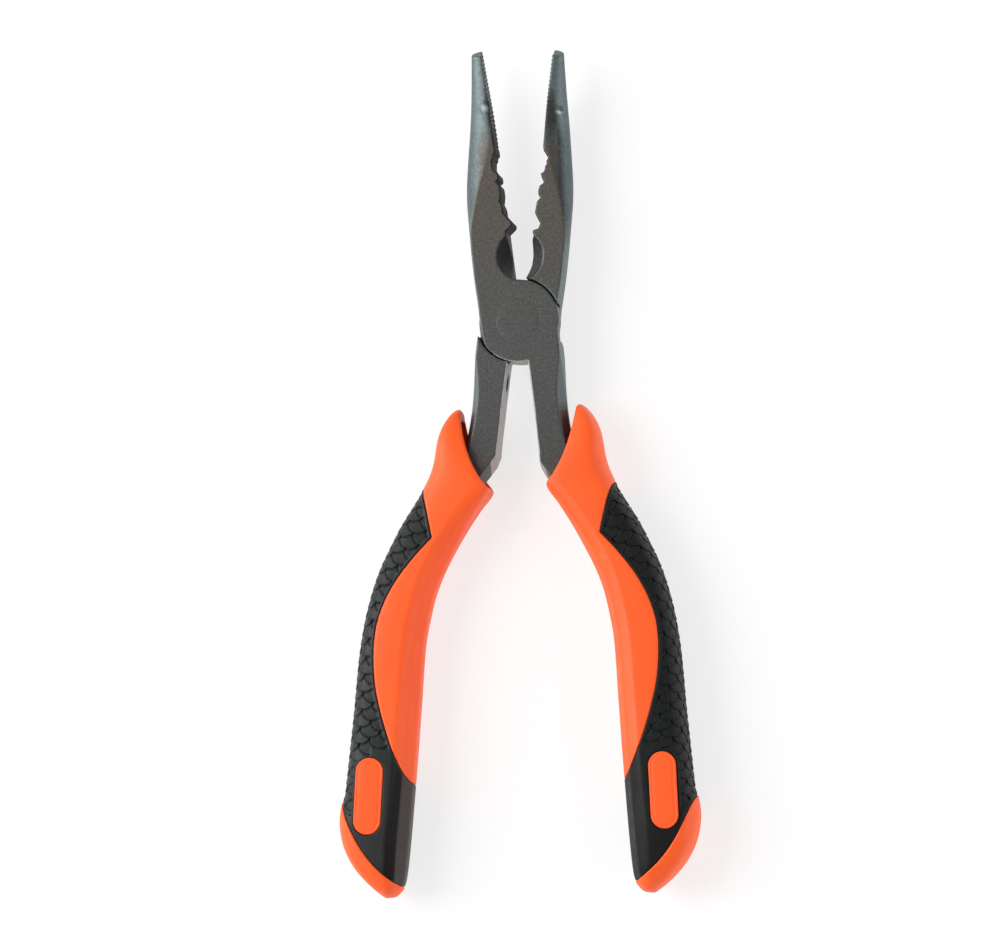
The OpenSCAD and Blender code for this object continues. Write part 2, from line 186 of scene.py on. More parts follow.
# Grip stations: outer point x, y, inner point x, y, half thickness as a share of GRIP_H, squareness
GRIP_H = 9.3
GRIP = [
    (14, -24.6, 12.5, -25.1, 0.34, 1), (15.8, -26.8, 11.8, -28.3, 0.64, 1),
    (17.4, -30, 10.5, -32.2, 0.78, 1), (18.2, -33.4, 8.8, -36.2, 0.86, 1),
    (18.4, -36.6, 6.8, -39.8, 0.9, 1), (18.5, -40, 4.2, -43.2, 0.92, 0.9),
    (19.1, -43.6, 1.9, -46, 0.93, 0.7), (20.5, -47.8, 4.5, -51.4, 0.94, 0.4),
    (22.6, -52.5, 7.2, -57.4, 0.95, 0.2), (25.3, -58.4, 9.8, -64.2, 0.95, 0),
    (27.6, -64.8, 11.8, -70, 0.95, 0), (29.5, -70.8, 13.2, -76, 0.95, 0),
    (30.8, -77.2, 13.9, -82.5, 0.96, 0), (31.7, -84.8, 14.2, -88.8, 0.96, 0),
    (32, -93, 13.9, -95.6, 0.97, 0), (31.8, -101, 13.4, -103, 0.98, 0),
    (31.4, -110, 12.9, -111.5, 0.99, 0), (31.2, -118, 12.4, -120, 1, 0),
    (31, -126, 12, -128, 1, 0), (30.9, -133, 11.6, -136, 1, 0),
    (31.1, -138.2, 11.3, -143, 1, 0), (30.4, -142.4, 11.1, -149.5, 0.94, 0),
    (28.6, -147, 11.2, -153.6, 0.86, 0), (25.4, -151.5, 12, -155.8, 0.74, 0),
    (21.2, -155.2, 13.4, -157.6, 0.56, 0), (17.4, -157.8, 15, -158.3, 0.3, 0)]
# The grips sit a little differently on the two levers
HANDLE_SHIFT = {"front": 0.5, "rear": -0.5}
# Hollow of the guard: its wall, the stations where it starts and ends, and the length of a station there
GUARD_WALL = 1.8
GUARD_TOP = 1
GUARD_FLOOR = 5.8
STATION_L = 3.6
# Steps of the smoothed grip from one station to the next
STEPS_PER_STATION = 4
# Half a section from the outer side over the front to the inner side, and how far each corner is rounded
FACETED = [(1, 0), (0.97, 0.4), (0.87, 0.72), (0.68, 0.93), (0.42, 1), (-0.45, 1), (-0.75, 0.8), (-1, 0.3)]
SQUARE = [(1, 0), (0.97, 0.4), (0.87, 0.72), (0.68, 0.93), (0.42, 1), (-0.7, 1), (-0.94, 0.98), (-1, 0.9)]
CORNER = [1.6, 1.6, 1.4, 1.2, 0.4, 0.4, 0.6]

# The sleeve's thickness and its edges: below the guard, along the front, and at the butt cap
SLEEVE_T = 2.6
SLEEVE_TOP = [(24, -44.6), (20, -47.1), (17.4, -53.9), (15, -60.9)]
SLEEVE_EDGE = [(15, -60.9), (19, -66.4), (23.7, -74.6), (26.6, -84), (26.7, -93.5), (24.4, -104.5),
               (19.5, -116.3), (15.2, -124), (12.4, -127), (8, -127.8)]
BUTT_EDGE = [(8, -155), (12.4, -154.6), (17.2, -152), (21.6, -148.2), (25.4, -143.6), (28.6, -138.4),
             (32.4, -131)]
# Plan corners beyond the grip: its outer side, and below the butt
SLEEVE_SIDE = 38
BUTT_SIDE_Y = -131
BUTT_LOW_Y = -164
# Gap between the pieces of a grip
SEAM = 0.03
# How far the butt cap stands out, and where the sleeve's inner side carries painted shade and a painted
# reflection
CAP_PROUD = 0.25
INNER_SIDE_X = 18
INNER_SIDE_BLEND = 2
INNER_SIDE_Y = -122
# Painted shade on the right sleeve: its lower share makes it blacker and less shiny
SLEEVE_LIT_SHARE = {"front": 0.3, "rear": 1}

# Fish scales: width of a scale, distance between rows, radius, rise towards the tip, depth under the smooth
# rim, groove and lip round a scale, and width of the smooth rim
SCALE_W = 5.4
SCALE_ROW = 2.35
SCALE_R = 2.75
SCALE_TILT = 0.11
SCALE_LEVEL = 0.27
GROOVE_DEPTH = 0.34
GROOVE_AT = 0.15
LIP_H = 0.08
LIP_AT = -0.2
LINE_W = 0.2
RIM = 0.55
RIM_BLEND = 0.3
TILE_STEP = 0.05
# Share of the half width where the relief turns from the front to the outer side
TURN_SHARE = 0.42
# The relief ends here beside the badge's inner side and beside its outer side
RELIEF_END = -119.2
RELIEF_SIDE_END = -138

# Badge: centre of its upper end, radius, length between the centres of its ends, turn, thickness, height
# over the grip, gap under it, steps round each end, and its surface from the edge inwards as inset and drop
BADGE = (23.4, -125.5)
BADGE_R = 3.7
BADGE_L = 13.3
BADGE_TURN = math.radians(-4.5)
BADGE_T = 1.6
BADGE_PROUD = 0.2
BADGE_LIFT = 0.05
BADGE_STEPS = 24
BADGE_EDGE = [(0, 0.25), (0.08, 0.08), (0.25, 0), (0.6, 0), (0.66, 0.04), (0.76, 0.04), (0.84, 0.01),
              (1.6, 0), (2.6, -0.02)]

# Widths over which the edges between surfaces are rounded
ROUND = {
    "bevel": 0.25, "toe": 0.3, "tang": 0.3, "leg_groove": 0.3, "leg_window": 2.4, "closing_face": 0.3,
    "tip": 0.4, "bite": 0.1, "tooth": 0.1, "disc": 1, "sides": 0.5, "front": 0.12, "boss": 0.5,
    "boss_foot": 0.9, "recess": 0.08, "joint_cuts": 0.06, "scoop": 0.25, "grip_end": 1.2, "hollow": 1.5,
    "shell": 0.35, "guard": 0.4, "shank_hole": 0.25, "cap": 0.5, "sleeve": 0.35, "badge_pocket": 0.3}

# Spans of the grids that the surfaces are found on, along x, y and z: start, end and step
LEVER_GRID = ([(-12.5, 13.5, 0.25)], [(-61, -13, 0.4), (-13, 76, 0.25)], [(-0.75, 14, 0.25)])
SHELL_GRID = ([(-1, 33.2, 0.33)], [(-160.5, -23.5, 0.33)], [(-5, 15, 0.33)])
SLEEVE_GRID = ([(9, 33, 0.25)], [(-158, -44, 0.25)], [(-4.7, 14.7, 0.25)])

# Coat of the steel, with painted reflections, painted shade and painted highlights among its colours
SHANK_GREY = (0.064, 0.066, 0.064, 1)
JOINT_GREY = (0.072, 0.074, 0.071, 1)
# Painted warm reflection on the flat faces of the jaws
JAW_REFLECTION_BROWN = (0.088, 0.074, 0.057, 1)
# Painted blue-grey reflection on the sides, the faces turned from the front and back
SIDE_REFLECTION_BLUE = (0.094, 0.122, 0.127, 1)
# Painted blue-grey reflection over the nose
NOSE_REFLECTION_BLUE = (0.112, 0.145, 0.15, 1)
SHADE_GREY = (0.033, 0.035, 0.033, 1)
# Painted highlight on the top of each boss
BOSS_HIGHLIGHT_GREY = (0.4, 0.44, 0.44, 1)
# Painted highlight on the inner sides of the shanks
SHANK_HIGHLIGHT_STEEL = (0.42, 0.4, 0.39, 1)
SPARKLE = (0.17, 0.17, 0.16, 1)
PIT = (0.03, 0.032, 0.03, 1)
GRAIN_GREY = (0.03, 0.031, 0.031, 1)
# Painted shade, nearly black, on the cut faces of the jaws
CUT_SHADE_DARK = (0.008, 0.009, 0.008, 1)
CUT_SHADE_PALE = (0.016, 0.018, 0.014, 1)
# Plastic and rubber, with painted shade and a painted reflection among the rubber's colours
SHELL_ORANGE = (0.92, 0.105, 0.014, 1)
BADGE_ORANGE = (0.9, 0.1, 0.012, 1)
DEEP_ORANGE = (0.86, 0.085, 0.01, 1)
SCUFF_ORANGE = (1.0, 0.3, 0.12, 1)
RUBBER_DARK = (0.008, 0.009, 0.0095, 1)
RUBBER_PALE = (0.012, 0.0135, 0.014, 1)
RUBBER_DUST = (0.04, 0.044, 0.045, 1)
# Painted shade on the first facet of the sleeve's inner side
RUBBER_FACET_SHADE = (0.008, 0.0065, 0.006, 1)
# Painted reflection on the steeper facets of the sleeve's inner side
RUBBER_REFLECTION = (0.036, 0.027, 0.025, 1)
# Painted shade that blackens the right sleeve
RUBBER_SHADE_BLACK = (0.003, 0.003, 0.003, 1)

# Stage, in metres and watts: a floor that glows a little, where the lights point, and the camera
FLOOR_GREYS = ((0.26, 0.26, 0.26, 1), (0.28, 0.28, 0.28, 1))
FLOOR_GLOW = 0.73
FLOOR_HALF = 3
FLOOR_GAP = 0.0002
ZENITH = (0.3, 0.29, 0.28, 1)
HORIZON = (1.0, 1.05, 1.08, 1)
LIT_POINT = (0, -0.04, 0)
SEEN_POINT = (-0.0055, -0.0414, MID_Z * MM)
CAMERA_YAW = 8
CAMERA_PITCH = 5.7
CAMERA_DISTANCE = 2.4
VIEW_WIDTH = 0.27


# ---- fields ----

def smooth_max(a, b, k):
    """The larger of two fields, rounded over a width of about k where they meet."""
    return np.maximum(a, b) + np.maximum(k - np.abs(a - b), 0) ** 2 / (4 * k)


def smooth_min(a, b, k):
    return -smooth_max(-a, -b, k)


def curve(points, steps):
    """A smooth curve through all the points, as an array of rows."""
    p = np.array(points, float)
    q = np.concatenate([p[:1], p, p[-1:]])
    t = (np.arange(steps) / steps)[:, None]
    rows = []
    for a, b, c, d in zip(q, q[1:], q[2:], q[3:]):
        rows.append(0.5 * (2 * b + (c - a) * t + (2 * a - 5 * b + 4 * c - d) * t ** 2
                           + (3 * b - a - 3 * c + d) * t ** 3))
    return np.concatenate(rows + [p[-1:]])


def line_distance(x, y, points):
    """Distance from each plan point to a line of points."""
    best = np.full(np.broadcast(x, y).shape, 1e9)
    for (ax, ay), (bx, by) in zip(points, points[1:]):
        dx, dy = bx - ax, by - ay
        t = np.clip(((x - ax) * dx + (y - ay) * dy) / max(dx * dx + dy * dy, 1e-12), 0, 1)
        best = np.minimum(best, np.hypot(x - ax - t * dx, y - ay - t * dy))
    return best


def area(x, y, outline):
    """Signed distance from each plan point to a closed outline, negative inside."""
    ring = [tuple(p) for p in outline] + [tuple(outline[0])]
    inside = np.zeros(np.broadcast(x, y).shape, bool)
    for (ax, ay), (bx, by) in zip(ring, ring[1:]):
        if ay != by:
            crosses = ((ay > y) != (by > y)) & (x < (bx - ax) * (y - ay) / (by - ay) + ax)
            inside ^= crosses
    return np.where(inside, -1, 1) * line_distance(x, y, ring)


def box_field(x, y, z, low, high, k):
    """A box with rounded edges, from three coordinates and its corners."""
    sides = [np.abs(v - (a + b) / 2) - (b - a) / 2 for v, a, b in zip((x, y, z), low, high)]
    return smooth_max(smooth_max(sides[0], sides[1], k), sides[2], k)


# ---- meshes ----

def grid_lines(*spans):
    """Grid lines over joined spans of (start, end, step)."""
    lines = [np.arange(a, b - step / 2, step) for a, b, step in spans]
    return np.concatenate(lines + [[spans[-1][1]]])


def as_grid(spans):
    """Grid lines along x, y and z, and the coordinates that a field takes."""
    lines = [grid_lines(*axis) for axis in spans]
    x, y, z = [line.astype(np.float32) for line in lines]
    return lines, x[:, None, None], y[None, :, None], z[None, None, :]


def surface(lines, field):
    """Points and quads of the surface where the field is zero, one point in each cell that it crosses."""
    field = field.astype(np.float32)
    inside = field < 0
    flat = field.ravel()
    stride = np.array([field.shape[1] * field.shape[2], field.shape[2], 1])
    cells, crossings, quads = [], [], []
    for a in range(3):
        b, c = (a + 1) % 3, (a + 2) % 3
        near, far = [slice(None)] * 3, [slice(None)] * 3
        near[a], far[a] = slice(0, -1), slice(1, None)
        index = np.argwhere(inside[tuple(near)] != inside[tuple(far)])
        start = index @ stride
        v0, v1 = flat[start], flat[start + stride[a]]
        point = np.stack([lines[k][index[:, k]] for k in range(3)], 1)
        step = lines[a][index[:, a] + 1] - lines[a][index[:, a]]
        point[:, a] += step * v0 / (v0 - v1)
        ring = np.stack([start - stride[b] - stride[c], start - stride[c], start, start - stride[b]], 1)
        cells.append(ring.ravel())
        crossings.append(np.repeat(point, 4, axis=0))
        quads.append(np.where((v0 < 0)[:, None], ring, ring[:, ::-1]))
    cells, crossings, quads = (np.concatenate(part) for part in (cells, crossings, quads))
    names, owner = np.unique(cells, return_inverse=True)
    count = np.bincount(owner)
    points = np.stack([np.bincount(owner, crossings[:, k]) / count for k in range(3)], 1)
    return points, np.searchsorted(names, quads).tolist()


def mesh_piece(name, points, faces, material, body, nodes):
    """A piece of the object from points in metres, riding on a body and standing for CAD nodes."""
    mesh = bpy.data.meshes.new(name)
    mesh.from_pydata(np.asarray(points).tolist(), [], faces)
    mesh.validate()
    mesh.shade_smooth()
    mesh.materials.append(material)
    piece = bpy.data.objects.new(name, mesh)
    bpy.context.scene.collection.objects.link(piece)
    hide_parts(*nodes)
    if body:
        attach(piece, body)
    return piece


def mark(piece, name, values):
    """Keep a value for each point of a piece, for its material."""
    attribute = piece.data.attributes.new(name, "FLOAT", "POINT")
    attribute.data.foreach_set("value", np.asarray(values, np.float32))


def opened(points, faces, side):
    """Points of a closed half turned to the opening angle, in metres. The rear half is mirrored first."""
    x, y, z = np.asarray(points, float).T
    turn = HALF_OPENING
    if side == "rear":
        x, turn, faces = -x, -turn, [face[::-1] for face in faces]
    c, s = math.cos(turn), math.sin(turn)
    return np.stack([x * c - y * s, x * s + y * c, z], 1) * MM, faces


def lathe(profile, steps):
    """A solid of revolution about Z from (radius, height) points that start and end on the axis."""
    rings = profile[1:-1]
    points = [(0, 0, profile[0][1])]
    angles = [2 * math.pi * i / steps for i in range(steps)]
    for r, z in rings:
        points += [(r * math.cos(a), r * math.sin(a), z) for a in angles]
    points.append((0, 0, profile[-1][1]))
    last = len(points) - 1
    faces = [(0, 1 + (i + 1) % steps, 1 + i) for i in range(steps)]
    for k in range(len(rings) - 1):
        a, b = 1 + k * steps, 1 + (k + 1) * steps
        faces += [(a + i, a + (i + 1) % steps, b + (i + 1) % steps, b + i) for i in range(steps)]
    faces += [(last, last - steps + i, last - steps + (i + 1) % steps) for i in range(steps)]
    return points, faces


# ---- levers ----

def nose_coordinates(y, z):
    """Distance along the bent nose and height off its centre line, for points beside it."""
    r = BEND_L / NOSE_BEND
    straight_s, straight_n = y, z - MID_Z
    dy, dz = y - BEND_START, z - MID_Z - r
    angle = np.arctan2(dy, -dz)
    bend_s, bend_n = BEND_START + r * angle, r - np.hypot(dy, dz)
    end_y, end_z = BEND_START + r * math.sin(NOSE_BEND), MID_Z + r * (1 - math.cos(NOSE_BEND))
    c, s = math.cos(NOSE_BEND), math.sin(NOSE_BEND)
    tip_s = BEND_START + BEND_L + (y - end_y) * c + (z - end_z) * s
    tip_n = (z - end_z) * c - (y - end_y) * s
    before, after = dy <= 0, angle >= NOSE_BEND
    along = np.where(before, straight_s, np.where(after, tip_s, bend_s))
    height = np.where(before, straight_n, np.where(after, tip_n, bend_n))
    return along.astype(np.float32), height.astype(np.float32)


def nose_point(along):
    """Distance up from the pivot of a point of the bent nose's front."""
    lean = MID_Z * math.sin(NOSE_BEND)
    return BEND_START + (along - BEND_START) * math.cos(NOSE_BEND) - lean


def bite_field(x, y, profile):
    """The cuts in a closing face, from distances and depths."""
    top, bottom = profile[0][0], profile[-1][0]
    outline = [(3, top)] + [(min(-depth, -BITE_GAP), at) for at, depth in profile] + [(3, bottom)]
    return area(x, y, outline)


def shank_field(x, y, z, side):
    """The shank between the joint and the grip, with its bevels, and the start of the tang."""
    plan = area(x, y, curve(SHANK, 3))
    v = np.abs(z - MID_Z)
    edge = curve(BEVEL, 4)[::-1]
    across = x - np.interp(y, edge[:, 1], edge[:, 0])
    bevel = (across - BEVEL_W * (MID_Z - v) / BEVEL_H) * math.cos(math.atan2(BEVEL_W, BEVEL_H))
    toe_x, toe_y = TOE_AT[side]
    toe = (x - toe_x) * TOE_AWAY[0] + (y - toe_y) * TOE_AWAY[1]
    toe = toe * math.sqrt(1 - TOE_RISE ** 2) + TOE_RISE * (v - MID_Z)
    shank = smooth_max(smooth_max(plan + 0 * z, bevel, ROUND["bevel"]), toe, ROUND["toe"])
    tang = smooth_max(line_distance(x, y, TANG) - TANG_W / 2 + 0 * z, v - TANG_T / 2, ROUND["tang"])
    return shank, tang


def joint_cuts(x, y, z, side):
    """Room in a joint half for the rivet, the coil, and a spring leg."""
    radius = np.hypot(x, y)
    depth = (JOINT_T - z) if side == "front" else z
    bore = np.minimum(radius - RIVET_R - RUN_GAP + 0 * z,
                      np.maximum(radius - RIVET_HEAD_R + HEAD_LAP, depth - RIVET_HEAD_T - RUN_GAP))
    pocket = np.maximum(radius - POCKET_R, np.abs(z - MID_Z) - POCKET_T / 2)
    leg_z = MID_Z + (1 if side == "front" else -1) * COIL_PITCH * COIL_TURNS / 2
    half = GROOVE_W / 2
    groove = box_field(x, y, z, (COIL_R - half, -LEG_L - 1, leg_z - half),
                       (COIL_R + half, 0, leg_z + half), ROUND["leg_groove"])
    window = box_field(x, y, z, (0, WINDOW_TOP - WINDOW_L, leg_z - WINDOW_H / 2),
                       (COIL_R + 1, WINDOW_TOP, leg_z + WINDOW_H / 2), ROUND["leg_window"])
    return np.minimum(np.minimum(bore, pocket), np.minimum(groove, window))


def lever_field(x, y, z, side):
    """A lever with its jaw on the -X side and its handle on the +X side."""
    along, height = nose_coordinates(y, z)
    stations = curve(JAW, 4)
    w = np.interp(along, stations[:, 0], stations[:, 1]).astype(np.float32)
    h = np.interp(along, stations[:, 0], stations[:, 2]).astype(np.float32)
    ratio = np.hypot(x / w, height / h)
    flank = (ratio - 1) * ratio / np.maximum(np.hypot(x / w ** 2, height / h ** 2), 1e-4)
    phase = np.abs((along / SERRATION_PITCH) % 1 - 0.5) * 2
    serrated = SERRATION_DEPTH * phase * (along > SERRATION_START)
    jaw = smooth_max(flank, x + BITE_GAP + serrated, ROUND["closing_face"])
    tip = (along - NOSE_END) * math.cos(TIP_SLANT) + height * math.sin(TIP_SLANT)
    jaw = smooth_max(jaw, tip, ROUND["tip"])
    jaw = smooth_max(jaw, -bite_field(x, y, FRONT_BITE if side == "front" else REAR_BITE), ROUND["bite"])
    jaw = np.maximum(jaw, -y)
    if side == "front":
        jaw = smooth_min(jaw, area(x, y, TOOTH) + 0 * z, ROUND["tooth"])
    radius = np.hypot(x, y)
    shank, tang = shank_field(x, y, z, side)
    disc = smooth_max(radius - JOINT_R, -x - JOINT_SIDE, ROUND["disc"])
    sides = smooth_min(smooth_min(jaw, disc + 0 * z, ROUND["sides"]), shank, ROUND["sides"])
    slab = np.abs(height) - np.minimum(MID_Z, FLAT_SHARE * h)
    body = smooth_min(smooth_max(sides, slab, ROUND["front"]), tang, ROUND["tang"])
    boss_x, boss_at = BOSS[side]
    boss_r = BOSS_R[side]
    boss_h = np.interp(boss_at, stations[:, 0], stations[:, 2]) - boss_r + BOSS_H
    boss = np.sqrt((x - boss_x) ** 2 + (along - boss_at) ** 2 + (height - boss_h) ** 2) - boss_r
    body = smooth_min(body, smooth_max(boss, x + BOSS_EDGE, ROUND["boss"]), ROUND["boss_foot"])
    recess = z - MID_Z if side == "front" else MID_Z - z
    outline = radius - JOINT_R - RECESS_GAP
    if side == "front":
        ease = (EASE_AT[0] - x + EASE_SLOPE * (EASE_AT[1] - y)) / math.hypot(1, EASE_SLOPE)
        outline = np.minimum(outline, np.maximum(ease, y))
    recess = np.maximum(outline, recess - LAP_GAP / 2)
    body = smooth_max(body, -recess, ROUND["recess"])
    body = smooth_max(body, -joint_cuts(x, y, z, side), ROUND["joint_cuts"])
    slope = SCOOP_DEPTH / (JOINT_T - EDGE_Z)
    cone_r = SCOOP_R - (JOINT_T - z) * slope
    scoop = (np.hypot(x - SCOOP_X[side], y - CUTTER_Y) - cone_r) / math.hypot(1, slope)
    return smooth_max(body, -np.maximum(scoop, EDGE_Z - z), ROUND["scoop"])


def lever_marks(points, side):
    """Values for the steel's painted shade and painted highlights, and the plain ring, for each point of a
    closed lever.
    """
    x, y, z = points.T
    # Painted shade on the cut faces of the jaws
    cut = np.clip((x - np.interp(y, INNER_Y, INNER_X)) / CUT_BLEND, 0, 1) * np.interp(y, CUT_Y, CUT_SHARE)
    # Painted shade inwards of a line beside the flat faces, faded out at both ends
    shade = np.clip((x - np.interp(y, SHADE_Y[side], SHADE_X[side])) / SHADE_BLEND + 0.5, 0, 1)
    shade *= np.interp(y, *SHADE_FADE)
    boss_x, boss_at = BOSS[side]
    away = np.hypot(x - boss_x, y - nose_point(boss_at))
    # Painted highlight on the top of the boss, on the front face only
    boss_highlight = np.clip(HIGHLIGHT_CORE - away / (HIGHLIGHT_SHARE * BOSS_R[side]), 0, 1) * (z > MID_Z)
    # Painted highlight on the inner sides of the shanks
    shank_highlight = (x < SHANK_HIGHLIGHT_X) & (y < SHANK_HIGHLIGHT_Y)
    plain = np.hypot(x, y) < RIVET_HEAD_R + PLAIN_RING
    return {"cut": cut, "shank_highlight": shank_highlight, "plain": plain, "shade": shade, "boss_highlight": boss_highlight}


def make_lever(name, side, node, material):
    lines, x, y, z = as_grid(LEVER_GRID)
    closed, quads = surface(lines, lever_field(x, y, z, side))
    points, faces = opened(closed, quads, side)
    piece = mesh_piece(name, points, faces, material, side, [node])
    for kind, values in lever_marks(closed, side).items():
        mark(piece, kind, values)


# ---- handles ----

class GripPlan:
    """Where each plan point lies in a grip: across it, along it, and the size of its section there."""

    def __init__(self, x, y):
        rows = curve(GRIP, STEPS_PER_STATION)
        outer, inner = rows[:, 0:2], rows[:, 2:4]
        centre, half = (outer + inner) / 2, np.linalg.norm(outer - inner, axis=1) / 2
        across = (outer - inner) / (2 * half[:, None])
        x, y = np.broadcast_arrays(x[..., 0], y[..., 0])
        away = np.stack([(x - c[0]) * a[1] - (y - c[1]) * a[0] for c, a in zip(centre, across)])
        passed = np.clip((away >= 0).sum(0) - 1, 0, len(rows) - 2)
        d0 = np.take_along_axis(away, passed[None], 0)[0]
        d1 = np.take_along_axis(away, passed[None] + 1, 0)[0]
        share = np.clip(d0 / np.where(np.abs(d0 - d1) < 1e-6, 1, d0 - d1), 0, 1)
        at = passed + share

        def look(values):
            return np.interp(at, np.arange(len(rows)), values)[..., None].astype(np.float32)

        self.across = ((x[..., None] - look(centre[:, 0])) * look(across[:, 0])
                       + (y[..., None] - look(centre[:, 1])) * look(across[:, 1])).astype(np.float32)
        self.half_w = look(half)
        self.half_h = look(rows[:, 4] * GRIP_H)
        self.squareness = look(rows[:, 5])
        steps = np.linalg.norm(np.diff(centre, axis=0), axis=1)
        self.along = look(np.concatenate([[0], np.cumsum(steps)]))
        self.station = (at / STEPS_PER_STATION)[..., None]
        self.before = -away[0][..., None].astype(np.float32)
        self.beyond = away[-1][..., None].astype(np.float32)


def grip_field(plan, z):
    """The whole outside of a grip: soft facets round each section, closed at both ends."""
    v = np.abs(z - MID_Z)
    field = None
    q = plan.squareness
    corners = [((1 - q) * f[0] + q * s[0], (1 - q) * f[1] + q * s[1]) for f, s in zip(FACETED, SQUARE)]
    corners = [(a * plan.half_w, b * plan.half_h) for a, b in corners]
    for (u0, v0), (u1, v1), k in zip(corners, corners[1:], [0] + CORNER):
        length = np.hypot(u1 - u0, v1 - v0)
        nu, nv = (v1 - v0) / length, (u0 - u1) / length
        side = nu * (plan.across - u0) - nv * v0 + nv * v
        field = side if field is None else smooth_max(field, side, k)
    field = smooth_max(field, -plan.across - plan.half_w, CORNER[-1])
    return smooth_max(smooth_max(field, plan.before, ROUND["grip_end"]), plan.beyond, ROUND["grip_end"])


def sleeve_area(x, y):
    """Signed distance to the area that the sleeve covers."""
    edge = SLEEVE_TOP[:3] + list(curve(SLEEVE_EDGE, 4))
    outline = edge + list(curve(BUTT_EDGE, 3)) + [(SLEEVE_SIDE, BUTT_SIDE_Y), (SLEEVE_SIDE, SLEEVE_TOP[0][1])]
    return area(x, y, [tuple(p) for p in outline])


def butt_area(x, y):
    """Signed distance to the area that the butt cap covers."""
    beyond = [(SLEEVE_SIDE, BUTT_SIDE_Y), (SLEEVE_SIDE, BUTT_LOW_Y), (0, BUTT_LOW_Y), (0, BUTT_EDGE[0][1])]
    return area(x, y, [tuple(p) for p in curve(BUTT_EDGE, 3)] + beyond)


def badge_area(x, y):
    """Signed distance to the badge's outline."""
    c, s = math.cos(BADGE_TURN), math.sin(BADGE_TURN)
    u = (x - BADGE[0]) * c + (y - BADGE[1]) * s
    v = (y - BADGE[1]) * c - (x - BADGE[0]) * s
    return np.hypot(u, v - np.clip(v, -BADGE_L, 0)) - BADGE_R


def guard_hollow(plan, z):
    """The guard's hollow, open towards the shank."""
    v = np.abs(z - MID_Z)
    walls = smooth_max(plan.across - plan.half_w + GUARD_WALL + 0 * z, v - plan.half_h + GUARD_WALL,
                       ROUND["hollow"])
    ends = np.maximum(GUARD_TOP - plan.station, plan.station - GUARD_FLOOR) * STATION_L
    return smooth_max(walls, ends.astype(np.float32), ROUND["hollow"])


def scale_tile():
    """One repeat of the fish-scale relief: a scale rises towards its round tip and lies on the next ones."""
    g = np.arange(0, SCALE_W, TILE_STEP)[:, None]
    s = np.arange(0, 2 * SCALE_ROW, TILE_STEP)[None, :]
    height = np.zeros((g.shape[0], s.shape[1]))
    for row in range(6, -5, -1):
        for column in range(-2, 4):
            cg = column * SCALE_W + (row % 2) * SCALE_W / 2
            reach = np.hypot(g - cg, s - row * SCALE_ROW)
            rise = SCALE_TILT * (s - row * SCALE_ROW) / SCALE_R
            groove = -GROOVE_DEPTH * np.exp(-((reach - SCALE_R - GROOVE_AT) / LINE_W) ** 2)
            lip = LIP_H * np.exp(-((reach - SCALE_R - LIP_AT) / LINE_W) ** 2)
            height = np.where(reach < SCALE_R, rise + lip, height + groove * (s > row * SCALE_ROW))
    return height


def scale_relief(plan, x, y, z, rim):
    """How far the sleeve's surface lies under its smooth rim."""
    v = np.abs(z - MID_Z)
    turn_at = TURN_SHARE * plan.half_w
    past = plan.across - turn_at
    reach = ((1 - TURN_SHARE) * plan.half_w + plan.half_h) / 2
    girth = np.where(past > 0, turn_at + reach * np.arctan2(np.maximum(past, 0), np.maximum(v, 0.01)),
                     plan.across + 0 * z)
    tile = scale_tile()
    i = (girth / TILE_STEP).astype(int) % tile.shape[0]
    j = (plan.along / TILE_STEP).astype(int) % tile.shape[1]
    i, j = np.broadcast_arrays(i, j)
    height = tile[i, j].astype(np.float32)
    end = np.where(x - BADGE[0] > math.tan(BADGE_TURN) * (BADGE[1] - y), RELIEF_SIDE_END, RELIEF_END)
    fade = np.clip(np.minimum(-rim - RIM, y - end) / RIM_BLEND, 0, 1)
    return fade * (SCALE_LEVEL - height)


